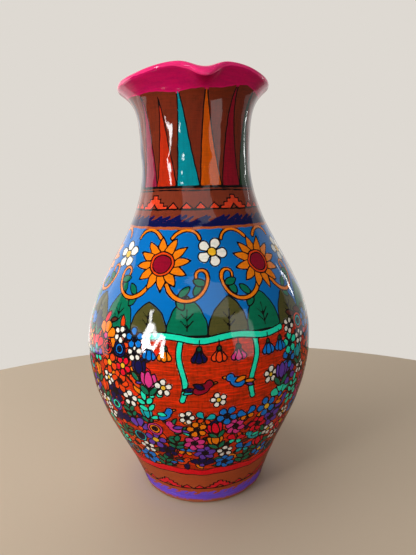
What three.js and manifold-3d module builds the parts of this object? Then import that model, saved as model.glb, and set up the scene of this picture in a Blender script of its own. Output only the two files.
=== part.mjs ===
// A hand-built terracotta pitcher: a full round body, a wide neck and a flared
// mouth pulled into a pouring lip, with a strap handle behind. It is built as a
// potter builds it. A floor slab, two bowl halves, a neck and a rim coil are
// stacked and luted at level seams, and the handle is luted to the neck and the
// shoulder. Millimetres, +Z up, the origin at the centre of the foot's flat
// face, the pouring lip towards -Y and the handle towards +Y.

import * as THREE from "three";
import { mergeVertices } from "three/addons/utils/BufferGeometryUtils.js";
import Module from "manifold-3d";

// Outer form: radii, and the rises from the foot to the widest part of the
// belly, on to the narrowest part of the neck, and on to the lip.
const FOOT_RADIUS = 49.5;
const BELLY_RADIUS = 86.5;
const NECK_RADIUS = 40;
const RIM_RADIUS = 54; // outermost, at the lip's rounded edge
const BELLY_RISE = 118;
const NECK_RISE = 132;
const RIM_RISE = 53; // to the top of the lip where it is level

// How far the outline runs along its tangent as it leaves each of those
// places. It stands upright at the belly and at the neck.
const FOOT_PULL = 48;
const FOOT_SLOPE = 0.28; // outward run for each millimetre of rise at the foot
const BELLY_PULL_DOWN = 47;
const BELLY_PULL_UP = 50;
const NECK_PULL_DOWN = 52;
const NECK_PULL_UP = 35;
const RIM_PULL = 13.5;
const RIM_ANGLE = THREE.MathUtils.degToRad(38); // rise of the flare at its edge

// Clay thickness.
const BODY_WALL = 6;
const NECK_WALL = 5.4;
const LIP_THICKNESS = 5.2;
const FLOOR_THICKNESS = 7;
const FOOT_EDGE = 1.2; // bevel round the bottom edge

// Depth of the rim coil below the lip, and of the neck piece below the narrowest
// part of the neck. The two bowl halves meet at the widest part of the belly.
const RIM_COIL_DEPTH = 16;
const NECK_PIECE_DEPTH = 45;

// Pouring lip, pulled from the rim: two raised shoulders and a drooping spout.
const SHOULDER_LIFT = 3.4;
const SHOULDER_SPREAD = THREE.MathUtils.degToRad(44);
const SPOUT_REACH = 6;
const SPOUT_DROP = 8;
const SPOUT_SPREAD = THREE.MathUtils.degToRad(9.5);

// Strap handle: how far its upper seat lies below the rim coil, and its foot
// above the widest part of the belly, its reach, and its strap.
const HANDLE_TOP_DROP = 25;
const HANDLE_FOOT_RISE = 50;
const HANDLE_REACH = 58; // out from the narrowest part of the neck
const HANDLE_ARCH = 30; // how far the strap climbs above its foot before it turns in
const HANDLE_CREST = 8; // how far it climbs above its upper seat
const STRAP_TOP_WIDTH = 26;
const STRAP_FOOT_WIDTH = 20;
const STRAP_THICKNESS = 9;
const STRAP_FLARE = 0.4; // extra width and thickness where the strap meets the clay
const SEAT_DEPTH = 4; // how far the strap runs on before it is trimmed to its seat
const SEAT_GAP = 0.3;

// Facets.
const BODY_SEGMENTS = 60;
const RIM_SEGMENTS = 108;
const STRAP_RINGS = 22;
const STRAP_SIDES = 18;
const OUTLINE_STEPS = 60;

const RIM_MAGENTA = 0xa8124f;
const NECK_BROWN = 0x5a2412;
const SHOULDER_BLUE = 0x1c6fc0;
const FIELD_RED = 0xb8371a;
const BARE_CLAY = 0x9a4a2c;

// Heights that follow from those sizes.
const BELLY_HEIGHT = BELLY_RISE;
const NECK_HEIGHT = BELLY_HEIGHT + NECK_RISE;
const RIM_HEIGHT = NECK_HEIGHT + RIM_RISE;
const NECK_SEAM = NECK_HEIGHT - NECK_PIECE_DEPTH;
const RIM_SEAM = RIM_HEIGHT - RIM_COIL_DEPTH;
const HANDLE_TOP = RIM_SEAM - HANDLE_TOP_DROP;
const HANDLE_FOOT = BELLY_HEIGHT + HANDLE_FOOT_RISE;

const wasm = await Module();
wasm.setup();

function glossy(color, roughness = 0.2) {
  return new THREE.MeshStandardMaterial({ color, roughness, metalness: 0 });
}

const at = (radius, height) => new THREE.Vector2(radius, height);

// The middle of the lip's rounded edge, which is half a circle in section.
const LIP_RADIUS = LIP_THICKNESS / 2;
const LIP_MIDDLE = at(RIM_RADIUS - LIP_RADIUS, RIM_HEIGHT - LIP_RADIUS);

// The outline from foot to lip, as three curves joined at the belly and the
// neck, where each stands upright.
function outline() {
  const run = at(Math.cos(RIM_ANGLE), Math.sin(RIM_ANGLE));
  const out = at(run.y, -run.x);
  const end = LIP_MIDDLE.clone().addScaledVector(out, LIP_RADIUS);
  const path = new THREE.CurvePath();
  path.add(
    new THREE.CubicBezierCurve(
      at(FOOT_RADIUS, 0),
      at(FOOT_RADIUS + FOOT_SLOPE * FOOT_PULL, FOOT_PULL),
      at(BELLY_RADIUS, BELLY_HEIGHT - BELLY_PULL_DOWN),
      at(BELLY_RADIUS, BELLY_HEIGHT),
    ),
  );
  path.add(
    new THREE.CubicBezierCurve(
      at(BELLY_RADIUS, BELLY_HEIGHT),
      at(BELLY_RADIUS, BELLY_HEIGHT + BELLY_PULL_UP),
      at(NECK_RADIUS, NECK_HEIGHT - NECK_PULL_DOWN),
      at(NECK_RADIUS, NECK_HEIGHT),
    ),
  );
  path.add(
    new THREE.CubicBezierCurve(
      at(NECK_RADIUS, NECK_HEIGHT),
      at(NECK_RADIUS, NECK_HEIGHT + NECK_PULL_UP),
      end.clone().addScaledVector(run, -RIM_PULL),
      end,
    ),
  );
  return path.curves.flatMap((curve, i) =>
    curve.getPoints(OUTLINE_STEPS).slice(i ? 1 : 0),
  );
}

// Wall thickness at a height: the body's, thinning through the neck to the lip's.
function wallAt(height) {
  const edge = RIM_HEIGHT - LIP_THICKNESS;
  const neck = THREE.MathUtils.smoothstep(height, BELLY_HEIGHT, NECK_HEIGHT);
  const lip = THREE.MathUtils.smoothstep(height, NECK_HEIGHT, edge);
  return (
    BODY_WALL +
    (NECK_WALL - BODY_WALL) * neck +
    (LIP_THICKNESS - NECK_WALL) * lip
  );
}

// Points moved inwards, square to the outline, by the wall's thickness.
function innerOutline(outer) {
  return outer.map((point, i) => {
    const before = outer[Math.max(i - 1, 0)];
    const after = outer[Math.min(i + 1, outer.length - 1)];
    const along = after.clone().sub(before).normalize();
    return at(-along.y, along.x)
      .multiplyScalar(wallAt(point.y))
      .add(point);
  });
}

const OUTER = outline();
const INNER = innerOutline(OUTER);

// Radius of an outline at a height.
function radiusAt(points, height) {
  const i = points.findIndex((point) => point.y >= height);
  if (i < 0) return points.at(-1).x;
  if (i === 0) return points[0].x;
  const below = points[i - 1];
  const share = (height - below.y) / (points[i].y - below.y);
  return THREE.MathUtils.lerp(below.x, points[i].x, share);
}

// One side of a wall between two heights, in equal rises.
function side(points, from, to, steps) {
  return Array.from({ length: steps + 1 }, (_, i) => {
    const height = from + ((to - from) * i) / steps;
    return at(radiusAt(points, height), height);
  });
}

function revolve(profile, segments = BODY_SEGMENTS) {
  return new THREE.LatheGeometry(profile, segments).rotateX(Math.PI / 2);
}

// A ring of wall from one level seam to the next, up the outside and down the
// inside, closed on itself.
function wallRing(from, to, outsideSteps, insideSteps) {
  const outside = side(OUTER, from, to, outsideSteps);
  const inside = side(INNER, to, from, insideSteps);
  return revolve([...outside, ...inside, outside[0]]);
}

// The floor: a slab whose edge continues the body's outline, bevelled below.
function floorSlab() {
  const top = radiusAt(OUTER, FLOOR_THICKNESS);
  const above = radiusAt(OUTER, FOOT_EDGE);
  return revolve([
    at(0, 0),
    at(radiusAt(OUTER, 0) - FOOT_EDGE, 0),
    at(above, FOOT_EDGE),
    at(top, FLOOR_THICKNESS),
    at(0, FLOOR_THICKNESS),
  ]);
}

// How much of a pull acts at an angle from the middle of the pouring lip.
function pullAt(angle, spread, sharpness) {
  return Math.exp(-Math.pow(Math.abs(angle) / spread, sharpness));
}

// The rim coil as thrown: the flare, a rounded lip edge, and the inside.
function flatRim() {
  const outsideSteps = 8;
  const insideSteps = 6;
  const edgeSteps = 6;
  const round = Array.from({ length: edgeSteps - 1 }, (_, i) => {
    const angle = RIM_ANGLE - Math.PI / 2 + (Math.PI * (i + 1)) / edgeSteps;
    return at(Math.cos(angle), Math.sin(angle))
      .multiplyScalar(LIP_RADIUS)
      .add(LIP_MIDDLE);
  });
  const outside = side(OUTER, RIM_SEAM, OUTER.at(-1).y, outsideSteps);
  const inside = side(INNER, INNER.at(-1).y, RIM_SEAM, insideSteps);
  return revolve([...outside, ...round, ...inside, outside[0]], RIM_SEGMENTS);
}

// Pulls the lip out of the flat rim. The clay moves by its share of the way from
// the seam's outer radius to the lip's, so the seam stays level, the edge moves
// most, and the spout's channel rolls over into its drooping edge.
function rimCoil() {
  const geometry = flatRim();
  const seamRadius = radiusAt(OUTER, RIM_SEAM);
  const place = geometry.getAttribute("position");
  const point = new THREE.Vector3();
  for (let i = 0; i < place.count; i++) {
    point.fromBufferAttribute(place, i);
    const angle = Math.atan2(point.x, -point.y);
    const radius = Math.hypot(point.x, point.y);
    const share = Math.max(radius - seamRadius, 0) / (RIM_RADIUS - seamRadius);
    const shoulders = SHOULDER_LIFT * pullAt(angle, SHOULDER_SPREAD, 4) * share;
    const spout = pullAt(angle, SPOUT_SPREAD, 2) * share;
    const pulled = 1 + (SPOUT_REACH * spout) / radius;
    const height = point.z + shoulders - SPOUT_DROP * spout * share;
    place.setXYZ(i, point.x * pulled, point.y * pulled, height);
  }
  return geometry;
}

// A closed geometry as a solid, and a solid as a geometry.
function solidFrom(geometry) {
  const bare = geometry.clone();
  bare.deleteAttribute("normal");
  bare.deleteAttribute("uv");
  const merged = mergeVertices(bare, 1e-4);
  return new wasm.Manifold(
    new wasm.Mesh({
      numProp: 3,
      vertProperties: new Float32Array(merged.attributes.position.array),
      triVerts: new Uint32Array(merged.index.array),
    }),
  );
}

function geometryFrom(solid) {
  const mesh = solid.getMesh();
  const places = new Float32Array(mesh.numVert * 3);
  for (let i = 0; i < mesh.numVert; i++) {
    const first = i * mesh.numProp;
    places.set(mesh.vertProperties.subarray(first, first + 3), i * 3);
  }
  return new THREE.BufferGeometry()
    .setAttribute("position", new THREE.BufferAttribute(places, 3))
    .setIndex(new THREE.BufferAttribute(mesh.triVerts, 1));
}

// The line the strap's middle follows, in the plane behind the pitcher.
function strapPath() {
  const topSeat = radiusAt(OUTER, HANDLE_TOP) - SEAT_DEPTH;
  const footSeat = radiusAt(OUTER, HANDLE_FOOT) - SEAT_DEPTH;
  const reach = NECK_RADIUS + HANDLE_REACH;
  return new THREE.CubicBezierCurve3(
    new THREE.Vector3(0, topSeat, HANDLE_TOP),
    new THREE.Vector3(0, reach + STRAP_THICKNESS, HANDLE_TOP + HANDLE_CREST),
    new THREE.Vector3(0, reach, HANDLE_FOOT + HANDLE_ARCH),
    new THREE.Vector3(0, footSeat, HANDLE_FOOT),
  );
}

// The strap: rounded rings carried along the path, wider towards both ends,
// with a fan of triangles over each end.
function strap() {
  const path = strapPath();
  const across = new THREE.Vector3(1, 0, 0);
  const places = [];
  const faces = [];
  for (let i = 0; i <= STRAP_RINGS; i++) {
    const share = i / STRAP_RINGS;
    const middle = path.getPoint(share);
    const out = path.getTangent(share).cross(across).normalize();
    const flare = 1 + STRAP_FLARE * Math.pow(Math.abs(2 * share - 1), 5);
    const width = THREE.MathUtils.lerp(STRAP_TOP_WIDTH, STRAP_FOOT_WIDTH, share);
    for (let k = 0; k < STRAP_SIDES; k++) {
      const turn = (2 * Math.PI * k) / STRAP_SIDES;
      const point = middle
        .clone()
        .addScaledVector(across, (width / 2) * flare * Math.cos(turn))
        .addScaledVector(out, (STRAP_THICKNESS / 2) * flare * Math.sin(turn));
      places.push(point.x, point.y, point.z);
    }
  }
  for (let i = 0; i < STRAP_RINGS; i++) {
    for (let k = 0; k < STRAP_SIDES; k++) {
      const next = (k + 1) % STRAP_SIDES;
      const a = i * STRAP_SIDES + k;
      const b = i * STRAP_SIDES + next;
      faces.push(a, b, a + STRAP_SIDES, b, b + STRAP_SIDES, a + STRAP_SIDES);
    }
  }
  const last = STRAP_RINGS * STRAP_SIDES;
  for (let k = 1; k < STRAP_SIDES - 1; k++) {
    faces.push(0, k + 1, k);
    faces.push(last, last + k, last + k + 1);
  }
  return new THREE.BufferGeometry()
    .setAttribute("position", new THREE.Float32BufferAttribute(places, 3))
    .setIndex(faces);
}

// Everything inside the outer surface, grown by the seat gap.
function seatCutter() {
  const skin = side(OUTER, 0, RIM_SEAM, OUTLINE_STEPS);
  const grown = skin.map((p) => at(p.x + SEAT_GAP, p.y));
  return revolve([
    at(0, 0),
    ...grown,
    at(0, RIM_SEAM),
  ]);
}

// The strap trimmed to the neck and shoulder that it is luted to.
function handle() {
  return geometryFrom(solidFrom(strap()).subtract(solidFrom(seatCutter())));
}

function piece(name, geometry, material) {
  const mesh = new THREE.Mesh(geometry, material);
  mesh.name = name;
  return mesh;
}

const pitcher = new THREE.Group();
pitcher.name = "pitcher";
pitcher.add(
  piece("floor_slab", floorSlab(), glossy(BARE_CLAY, 0.4)),
  piece(
    "lower_body",
    wallRing(FLOOR_THICKNESS, BELLY_HEIGHT, 12, 8),
    glossy(FIELD_RED),
  ),
  piece(
    "upper_body",
    wallRing(BELLY_HEIGHT, NECK_SEAM, 11, 7),
    glossy(SHOULDER_BLUE),
  ),
  piece("neck", wallRing(NECK_SEAM, RIM_SEAM, 8, 5), glossy(NECK_BROWN)),
  piece("rim_and_pouring_lip", rimCoil(), glossy(RIM_MAGENTA)),
  piece("handle", handle(), glossy(NECK_BROWN)),
);

export default pitcher;
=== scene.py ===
"""A hand-built terracotta pitcher, painted all over and varnished, with a strap handle.

The pot is one line turned round an upright axis: up the outside, over the lip and down
the inside. The line is cut at the seams into the pieces a potter joins. The paint is laid
down shape by shape over the skin before the pieces are made. Pot and paint are worked out
in millimetres and written in metres.
"""

import collections
import functools

import bpy
import numpy as np
from bpy.props import FloatProperty, FloatVectorProperty, PointerProperty
from mathutils import Matrix, Quaternion, Vector


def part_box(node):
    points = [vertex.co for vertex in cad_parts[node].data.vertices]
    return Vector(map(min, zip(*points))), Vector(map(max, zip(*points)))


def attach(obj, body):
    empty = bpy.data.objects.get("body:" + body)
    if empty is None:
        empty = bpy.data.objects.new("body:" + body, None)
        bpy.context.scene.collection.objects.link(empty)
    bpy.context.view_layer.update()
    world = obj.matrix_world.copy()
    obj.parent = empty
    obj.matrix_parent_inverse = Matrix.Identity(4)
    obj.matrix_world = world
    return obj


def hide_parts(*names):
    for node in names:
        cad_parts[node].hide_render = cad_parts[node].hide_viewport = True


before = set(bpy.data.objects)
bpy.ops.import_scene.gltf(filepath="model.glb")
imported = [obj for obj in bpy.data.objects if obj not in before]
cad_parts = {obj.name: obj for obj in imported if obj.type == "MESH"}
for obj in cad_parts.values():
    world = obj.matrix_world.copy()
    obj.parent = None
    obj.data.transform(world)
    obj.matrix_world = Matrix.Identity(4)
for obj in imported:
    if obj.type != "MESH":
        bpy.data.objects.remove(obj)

bl_info = {
    "name": "Terracotta Pitcher",
    "version": (1, 0, 0),
    "blender": (4, 5, 0),
    "location": "View3D > Sidebar > Pitcher",
    "description": "Builds a painted and varnished terracotta pitcher around its solids",
    "category": "Add Mesh",
}

MM = 0.001

# Heights of the level seams, in millimetres, from the solids.
SLAB_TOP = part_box("lower_body")[0][2] / MM
BELLY_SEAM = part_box("upper_body")[0][2] / MM
NECK_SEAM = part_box("neck")[0][2] / MM
RIM_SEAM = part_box("rim_and_pouring_lip")[0][2] / MM


def linear(red, green, blue):
    """A colour as it looks on a screen, 0 to 255, as linear light from 0 to 1."""
    shown = np.array((red, green, blue)) / 255.0
    light = np.where(shown <= 0.04045, shown / 12.92, ((shown + 0.055) / 1.055) ** 2.4)
    return tuple(float(value) for value in light)


# Settings


def length(name, description, millimetres):
    """A setting that holds a length."""
    return FloatProperty(
        name=name, description=description, default=millimetres * MM, min=0.0,
        unit="LENGTH", subtype="DISTANCE", precision=4,
    )


def colour(name, description, *shown):
    """A setting that holds a colour."""
    return FloatVectorProperty(
        name=name, description=description, default=linear(*shown), size=3,
        min=0.0, max=1.0, subtype="COLOR",
    )


def brightness(name, description, value):
    """A setting that holds a lamp's brightness."""
    return FloatProperty(name=name, description=description, default=value, min=0.0)


class PitcherSizes(bpy.types.PropertyGroup):
    foot_radius: length("Foot radius", "Radius of the foot's outer edge", 49.5)
    belly_radius: length("Belly radius", "Largest radius of the body", 86.5)
    neck_radius: length("Neck radius", "Smallest radius of the neck", 40.0)
    rim_radius: length("Rim radius", "Outermost radius of the rounded lip", 54.0)
    belly_rise: length("Belly rise", "From the foot to the widest part", 118.0)
    neck_rise: length("Neck rise", "From the widest part to the narrowest", 132.0)
    rim_rise: length("Rim rise", "From the narrowest part to the lip", 53.0)
    body_wall: length("Body wall", "Thickness of the body's wall", 6.0)
    neck_wall: length("Neck wall", "Thickness of the neck's wall", 5.4)
    lip_thickness: length("Lip thickness", "Thickness of the rounded lip", 5.2)
    shoulder_lift: length("Shoulder lift", "Rise of the rim beside the spout", 3.4)
    spout_reach: length("Spout reach", "How far the spout is pulled out", 6.0)
    spout_drop: length("Spout drop", "How far the spout's edge droops", 8.0)
    dent_depth: length("Dent depth", "Depth of the marks left by the hands", 0.1)
    strap_width: length("Strap width", "Width of the handle at its top", 26.0)
    strap_thickness: length("Strap thickness", "Thickness of the handle", 9.0)


class PitcherColours(bpy.types.PropertyGroup):
    lip: colour("Lip", "Magenta of the rim", 204, 6, 88)
    # Painted highlight: the lip's rounded edge is painted a lighter magenta, where light from
    # above falls on it.
    lip_edge: colour("Lip edge", "Lighter magenta of the rounded edge", 240, 48, 118)
    neck: colour("Neck", "Brown ground under the pennants", 118, 42, 21)
    collar: colour("Collar", "Lighter brown of the stepped border", 128, 50, 28)
    shoulder: colour("Shoulder", "Blue ground of the shoulder", 0, 112, 190)
    field: colour("Field", "Brushed red ground of the belly", 212, 48, 8)
    border: colour("Border", "Brown ground of the lower border", 184, 80, 40)
    foot: colour("Foot", "Purple band at the foot", 116, 80, 214)
    clay: colour("Clay", "Bare fired terracotta", 172, 88, 56)
    ink: colour("Ink", "Dark outline of every painted shape", 12, 8, 9)


class PitcherStudio(bpy.types.PropertyGroup):
    floor: colour("Floor", "Plain pale floor", 194, 176, 154)
    bounce: colour("Floor bounce", "Floor as the varnish mirrors it", 130, 96, 72)
    surroundings: colour("Surroundings", "Pale surroundings", 222, 217, 210)
    window: brightness("Window", "Brightness of the tall window's panes", 24.0)
    key: brightness("Key light", "Brightness of the broad soft lights", 3.1)


def plain(group):
    """A group of settings as a plain tuple that can be compared."""
    names = list(type(group).__annotations__)
    record = collections.namedtuple(type(group).__name__ + "Values", names)
    values = []
    for name in names:
        value = getattr(group, name)
        values.append(value / MM if isinstance(value, float) else tuple(value))
    return record(*values)


# The pot's shape: how far its curves' control points lie from their ends, the spread of
# the pulled spout and shoulders, and the depth and reach of what the hands leave.

BELLY_PULLS = (48.0, 47.0, 50.0)
NECK_PULLS = (52.0, 35.0, 13.5)
FOOT_SLOPE = 0.28
RIM_ANGLE = np.radians(38.0)
SHOULDER_SPREAD = np.radians(44.0)
SPOUT_SPREAD = np.radians(9.5)
FOOT_BEVEL = 1.2
LINE_STEPS = 700
PULL_EASE = 0.12
DENT_WAVES = 26
SWAY_WAVES = 5
SWAY_DEPTH = 0.0625
RIM_CALM = 0.6
RIM_TILT = 0.55
LEAN = 1.4
LEAN_FROM = 118.0
LEAN_LENGTH = 140.0
LEAN_START = 30.0
NORMAL_REACH = 0.45
COLUMNS = 620


def cubic(points, count=LINE_STEPS):
    """A cubic curve through four control points, as count points along it."""
    share = np.linspace(0.0, 1.0, count)[:, None]
    rest = 1.0 - share
    a, b, c, d = (np.array(point) for point in points)
    return rest**3 * a + 3 * rest**2 * share * b + 3 * rest * share**2 * c + share**3 * d


def smooth(low, high, value):
    """0 below low, 1 above high, and an even S between them."""
    share = np.clip((value - low) / (high - low), 0.0, 1.0)
    return share * share * (3.0 - 2.0 * share)


def waves(seed, count, around, shortest, longest):
    """Seeded waves over the skin: whole turns round the axis, turns per millimetre up
    the axis, and a phase. Each wave's depth follows its length, so all slope alike."""
    rng = np.random.default_rng(seed)
    turns = rng.integers(-around, around + 1, count)
    upward = 2 * np.pi / rng.uniform(shortest, longest, count)
    return list(zip(turns, upward, rng.uniform(0, 2 * np.pi, count)))


def ripple(wave_list, turn, height, reach=70.0):
    """The sum of those waves, about 1 deep where they are about 15 mm long."""
    total = np.zeros(np.broadcast(turn, height).shape)
    for turns, upward, phase in wave_list:
        size = np.hypot(turns / reach, upward)
        total += 0.42 / size / 2.4 * np.cos(turns * turn + upward * height + phase)
    return total * np.sqrt(2.0 / len(wave_list))


class Pot:
    """The line that runs up the outside, over the lip and down the inside, by the
    distance along it, and the surface it makes when it is turned round the axis."""

    def __init__(self, sizes):
        self.sizes = sizes
        belly = sizes.belly_rise
        neck = belly + sizes.neck_rise
        rim = neck + sizes.rim_rise
        lip = sizes.lip_thickness / 2
        middle = np.array((sizes.rim_radius - lip, rim - lip))
        run = np.array((np.cos(RIM_ANGLE), np.sin(RIM_ANGLE)))
        out = np.array((run[1], -run[0]))
        end = middle + lip * out
        wide = (sizes.belly_radius, belly)
        narrow = (sizes.neck_radius, neck)
        foot = (
            (sizes.foot_radius, 0.0),
            (sizes.foot_radius + FOOT_SLOPE * BELLY_PULLS[0], BELLY_PULLS[0]),
            (wide[0], belly - BELLY_PULLS[1]),
            wide,
        )
        above = (wide[0], belly + BELLY_PULLS[2])
        body = (wide, above, (narrow[0], neck - NECK_PULLS[0]), narrow)
        flare = (narrow, (narrow[0], neck + NECK_PULLS[1]), end - NECK_PULLS[2] * run, end)
        outside = np.concatenate((cubic(foot), cubic(body)[1:], cubic(flare)[1:]))
        along = np.gradient(outside, axis=0)
        along /= np.hypot(along[:, 0], along[:, 1])[:, None]
        wall = (
            sizes.body_wall
            + (sizes.neck_wall - sizes.body_wall) * smooth(belly, neck, outside[:, 1])
            + (sizes.lip_thickness - sizes.neck_wall)
            * smooth(neck, rim - sizes.lip_thickness, outside[:, 1])
        )
        inside = outside + wall[:, None] * np.stack((-along[:, 1], along[:, 0]), 1)
        angle = RIM_ANGLE - np.pi / 2 + np.linspace(0, np.pi, LINE_STEPS // 4)[1:-1]
        edge = middle + lip * np.stack((np.cos(angle), np.sin(angle)), 1)
        line = np.concatenate((outside, edge, inside[::-1]))
        step = np.hypot(*np.diff(line, axis=0).T)
        self.distance = np.concatenate(((0.0,), np.cumsum(step)))
        self.line = line
        self.outer_end = len(outside) - 1
        self.inner_start = self.outer_end + len(edge) + 1
        self.seam_radius = self.radius(RIM_SEAM)
        self.dents = waves(5, DENT_WAVES, 30, 12.0, 46.0)
        self.sway = waves(9, SWAY_WAVES, 3, 110.0, 300.0)

    def at(self, distance):
        """Radius and height at a distance along the line."""
        radius = np.interp(distance, self.distance, self.line[:, 0])
        return radius, np.interp(distance, self.distance, self.line[:, 1])

    def outer(self, height):
        """Distance along the line at which the outside reaches a height."""
        part = slice(0, self.outer_end + 1)
        return np.interp(height, self.line[part, 1], self.distance[part])

    def radius(self, height):
        """Radius of the outside at a height."""
        return float(self.at(self.outer(height))[0])

    def inner(self, height):
        """Distance along the line at which the inside comes down to a height."""
        part = slice(self.inner_start, None)
        return np.interp(height, self.line[part, 1][::-1], self.distance[part][::-1])

    def skin(self, distance, turn):
        """Points of the turned line. The rim is pulled by its share of the way from the
        seam's radius to the lip's: out and down in the spout, and up over its two
        shoulders. Small dents and a slow sway, which the hands leave, change the radius,
        and the body leans in one slow wave of its height."""
        sizes = self.sizes
        radius, height = self.at(distance)
        share = np.maximum(radius - self.seam_radius, 0.0) * (height > RIM_SEAM)
        share = share / (sizes.rim_radius - self.seam_radius)
        share = share * (1.0 - np.exp(-share / PULL_EASE))
        spout = np.exp(-((turn / SPOUT_SPREAD) ** 2)) * share
        shoulders = np.exp(-(np.abs(turn / SHOULDER_SPREAD) ** 4)) * share
        dent = sizes.dent_depth * ripple(self.dents, turn, height)
        dent = dent + SWAY_DEPTH * ripple(self.sway, turn, height, 80.0)
        dent = dent * (1.0 - RIM_CALM * share)
        pulled = radius + sizes.spout_reach * spout + dent
        lifted = height + sizes.shoulder_lift * shoulders
        lifted = lifted - sizes.spout_drop * spout * share
        lifted = lifted + RIM_TILT * share * np.sin(turn)
        wave = np.sin(np.pi * np.clip((height - LEAN_FROM) / LEAN_LENGTH, -1.0, 1.0))
        lean = LEAN * wave * (1.0 - np.exp(-((height / LEAN_START) ** 2)))
        x = pulled * np.sin(turn) + lean
        y = -pulled * np.cos(turn)
        return np.stack(np.broadcast_arrays(x, y, lifted), -1)

    def rows(self, distances, turn):
        """Rows of points and their normals, which are square to the slopes that the
        surface has a little way to either side."""
        across = distances[:, None]
        reach = NORMAL_REACH
        points = self.skin(across, turn)
        up = self.skin(across + reach, turn) - self.skin(across - reach, turn)
        swing = reach / 60.0
        side = self.skin(across, turn + swing) - self.skin(across, turn - swing)
        normals = np.cross(side, up)
        normals /= np.linalg.norm(normals, axis=-1, keepdims=True)
        return points, normals


TURN = np.linspace(-np.pi, np.pi, COLUMNS, endpoint=False)


# Painting

# How far distances are kept, how far the hand strays, how many codes three signs make,
# how near a shape's edge a code counts as its neighbour's, and how far the colour of an
# outline and of a thin line reaches from it.
CAP = 3.0
HAND = 0.28
CODES = 8
NEIGHBOURS = (-1.2, 1.6)
INK_REACH = 1.3
LINE_REACH = 0.9


def disc(x, y, radius):
    """Distance to a disc's edge, negative inside."""
    return np.hypot(x, y) - radius


def oval(x, y, across, up):
    """About the distance to an oval's edge: how far out of scale a point lies, over the
    slope of that scale."""
    scale = np.hypot(x / across, y / up)
    slope = np.hypot(x / across**2, y / up**2) + 1e-6
    return scale * (scale - 1.0) / slope


def leaf(x, y, long, wide):
    """Distance to a leaf with two pointed ends that stands on the origin: the part
    shared by two equal discs."""
    radius = (long**2 + wide**2) / (4 * wide)
    return np.hypot(np.abs(x) + radius - wide / 2, y - long / 2) - radius


def drop(x, y, long, wide):
    """Distance to a petal that stands on the origin, with a narrow foot and a full
    round end: a disc and a small disc with straight sides between them."""
    small, big = wide * 0.14, wide / 2
    return taper(x, y, (0.0, small), (0.0, long - big), small, big)


def taper(x, y, start, end, first, last):
    """Distance to a line between two places that swells from one radius to another."""
    ax, ay = start
    bx, by = end
    run = (bx - ax) ** 2 + (by - ay) ** 2
    share = np.clip(((x - ax) * (bx - ax) + (y - ay) * (by - ay)) / run, 0.0, 1.0)
    near = np.hypot(x - ax - share * (bx - ax), y - ay - share * (by - ay))
    return near - first - (last - first) * share


def straight(x, y, start, end):
    """Distance to a straight line between two places."""
    return taper(x, y, start, end, 0.0, 0.0)


def ribbon(x, y, points, widths):
    """Distance to a bending stroke: the nearest of its straight parts."""
    halves = np.asarray(widths) / 2
    ends = zip(points, points[1:], halves, halves[1:])
    return functools.reduce(np.minimum, [taper(x, y, *end) for end in ends])


def block(x, y, half, tall):
    """Distance to an upright block that stands on the origin."""
    return np.maximum(np.abs(x) - half, np.maximum(-y, y - tall))


def tent(x, y, half, tall):
    """Distance to a triangle that stands on the origin."""
    slant = np.hypot(half, tall)
    side = ((np.abs(x) - half) * tall + y * half) / slant
    return np.maximum(side, -y)


def turned(x, y, angle):
    """The same places seen in a frame turned by an angle."""
    c, s = np.cos(angle), np.sin(angle)
    return x * c + y * s, y * c - x * s


class Skin:
    """The painted skin as a grid: colour, outline colour, varnish, three signed fields
    whose zero lines are the outlines between shapes, and one field for thin lines."""

    def __init__(self, pot, distances, ground):
        self.pot = pot
        self.distance = distances
        self.radius = pot.at(distances)[0]
        shape = (len(distances), COLUMNS)
        self.paint = np.empty(shape + (4,))
        self.paint[:] = (*ground.clay, 0.0)
        self.ink = np.empty(shape + (3,))
        self.ink[:] = ground.ink
        self.edge = np.full(shape + (3,), CAP)
        self.line = np.full(shape, CAP)
        self.varnish = np.ones(shape)
        self.black = ground.ink
        self.clay = ground.clay
        hand = waves(21, 14, 60, 5.0, 14.0)
        self.hand = ripple(hand, TURN[None, :], self.distance[:, None]) * 2.2

    def spot(self, degrees, height, reach, lean=0.0):
        """A patch round a place, with the distances across and up from it."""
        return Spot(self, np.radians(degrees), self.pot.outer(height), reach, lean)

    def belt(self, low, high, margin=4.0):
        """A patch all the way round between two heights."""
        first, last = self.pot.outer(low) - margin, self.pot.outer(high) + margin
        return Belt(self, first, last)


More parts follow.
